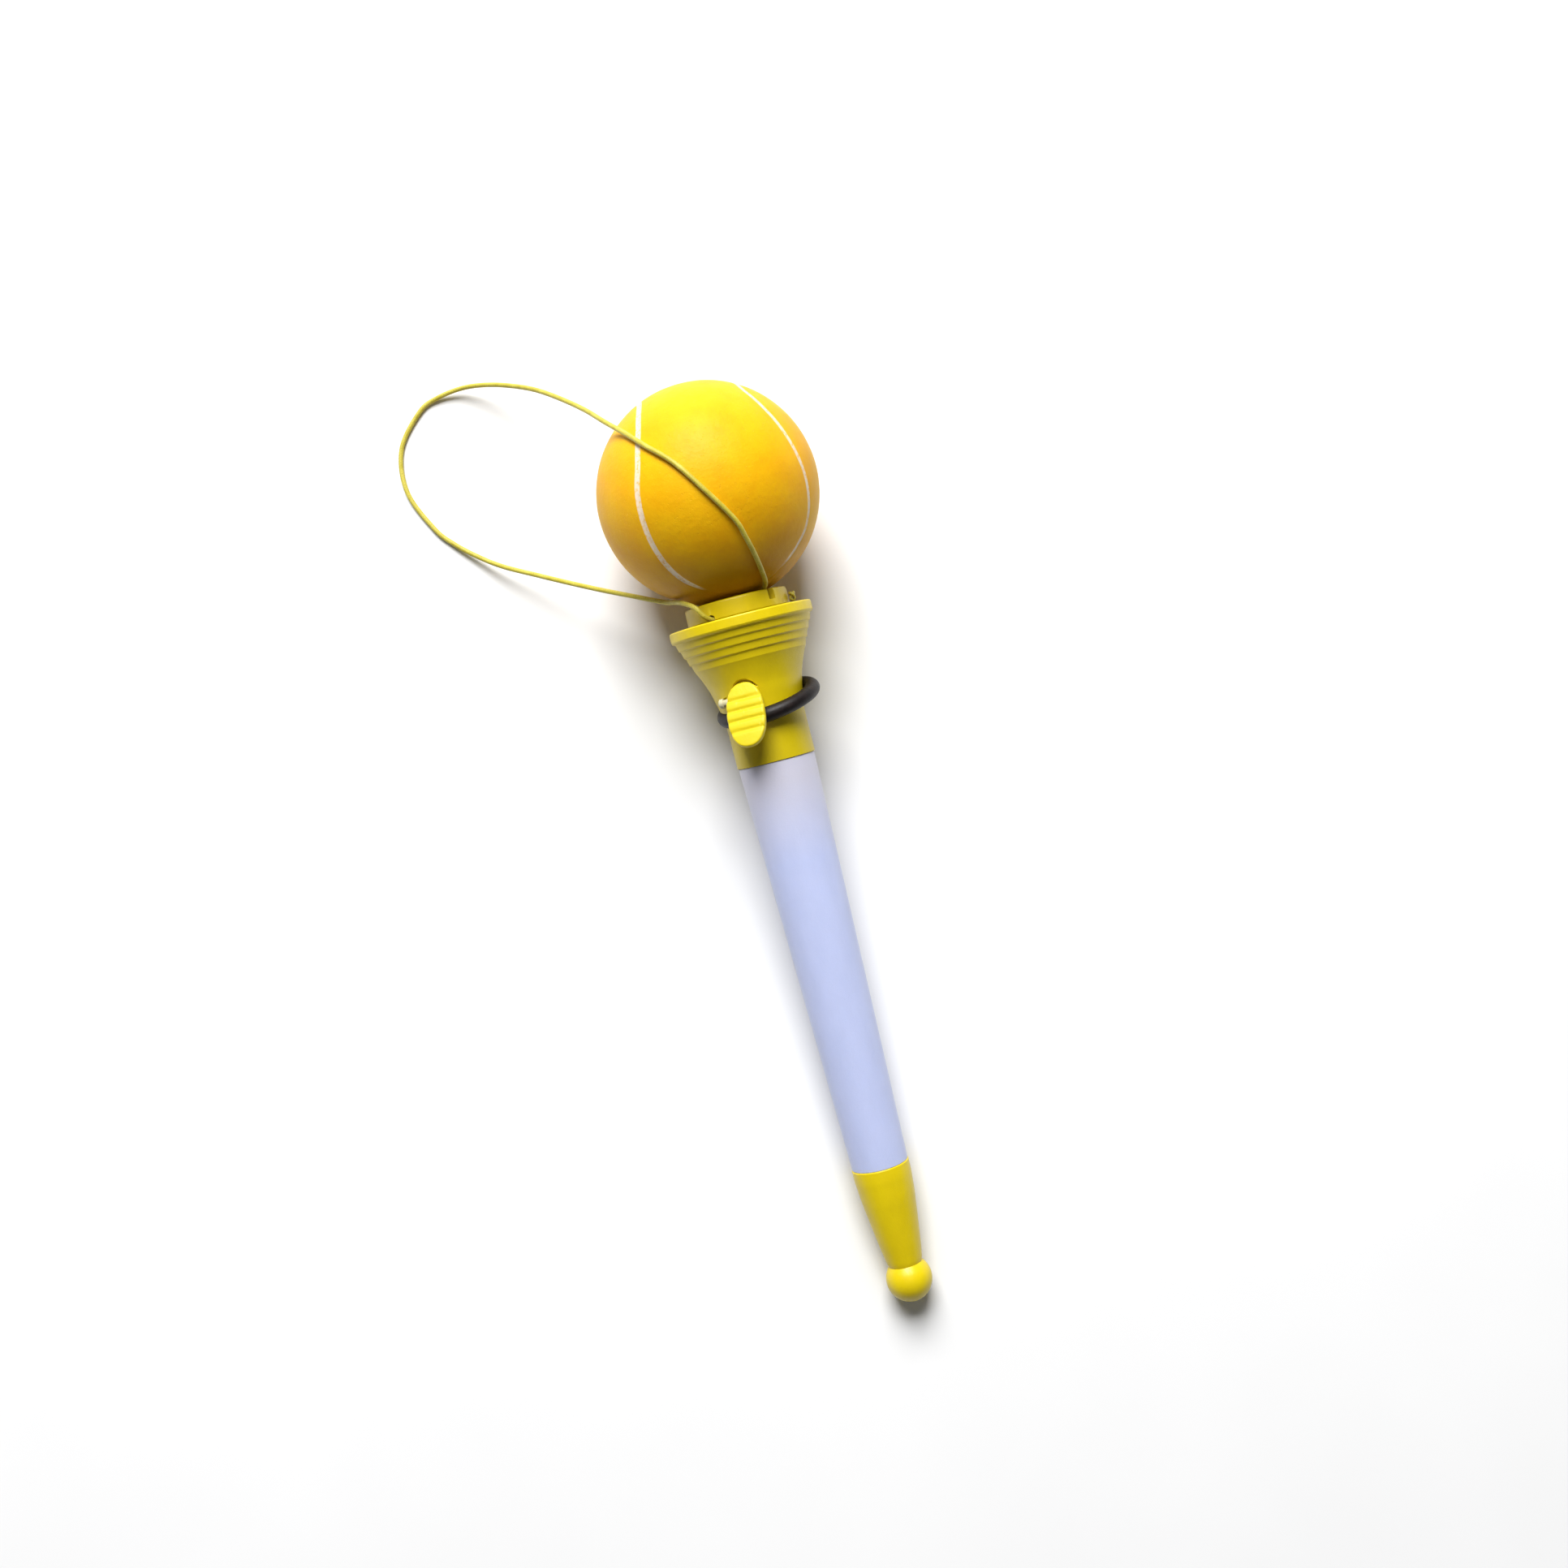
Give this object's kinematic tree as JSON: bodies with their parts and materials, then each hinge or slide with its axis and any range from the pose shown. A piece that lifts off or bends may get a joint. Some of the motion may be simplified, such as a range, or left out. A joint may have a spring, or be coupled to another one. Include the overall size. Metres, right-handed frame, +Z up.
{
  "type": "ball-launching pen",
  "caption": "Ballpoint pen with a flared launcher cup, a sprung plunger and a thumb trigger that throws a tethered foam ball.",
  "frame": {"origin": "middle of the base of the box round the lying pen without its cord, on the surface it lies on", "axes": "+Y along the lying pen in plan, from the cap to the ball; +Z up; the trigger faces up and 17 degrees to the -X side"},
  "size_m": [0.0759, 0.1867, 0.0408],
  "materials": {
    "ball": "smooth skinned foam with pale printed seams",
    "cord": "braided elastic",
    "yellow_plastic": "satin injection moulded",
    "white_plastic": "semi-gloss injection moulded",
    "natural_plastic": "uncoloured moulded",
    "black_rubber": "satin",
    "spring_steel": "drawn wire",
    "brass": "turned",
    "ink": "liquid"
  },
  "bodies": {
    "pen": {"launcher_body": "yellow_plastic", "guide_bush": "natural_plastic", "launch_spring": "spring_steel", "pivot_pin": "natural_plastic", "rubber_ring": "black_rubber", "barrel": "white_plastic", "refill_stop": "natural_plastic", "nose_cone": "yellow_plastic", "refill_tube": "natural_plastic", "ink": "ink", "ink_follower": "natural_plastic", "refill_tip": "brass", "writing_ball": "spring_steel"},
    "plunger": {"plunger_head": "yellow_plastic", "plunger_stem": "natural_plastic", "stem_clip": "spring_steel", "tether_knot": "cord"},
    "ball": {"ball": "ball", "ball_plug": "natural_plastic", "tether": "cord"},
    "trigger": {"trigger": "yellow_plastic"},
    "cap": {"cap": "yellow_plastic"}
  },
  "joints": [
    {"name": "plunger_cock", "type": "slide", "parent": "pen", "child": "plunger", "axis": [0, 0.9943, 0.1069], "range_m": [-0.0045, 0], "stiffness_N_per_m": 150, "springref_m": 0.01, "deforming": ["launch_spring"]},
    {"name": "ball_launch", "type": "slide", "parent": "plunger", "child": "ball", "axis": [0, 0.9943, 0.1069], "range_m": [0, 0.03]},
    {"name": "trigger_press", "type": "hinge", "parent": "pen", "child": "trigger", "pos_m": [-0.00211, 0.02783, 0.02289], "axis": [0.9563, -0.0313, 0.2907], "range_deg": [-7, 10], "stiffness_Nm_per_rad": 0.002},
    {"name": "cap_pull", "type": "slide", "parent": "pen", "child": "cap", "axis": [0, -0.9943, -0.1069], "range_m": [0, 0.03]}
  ]
}
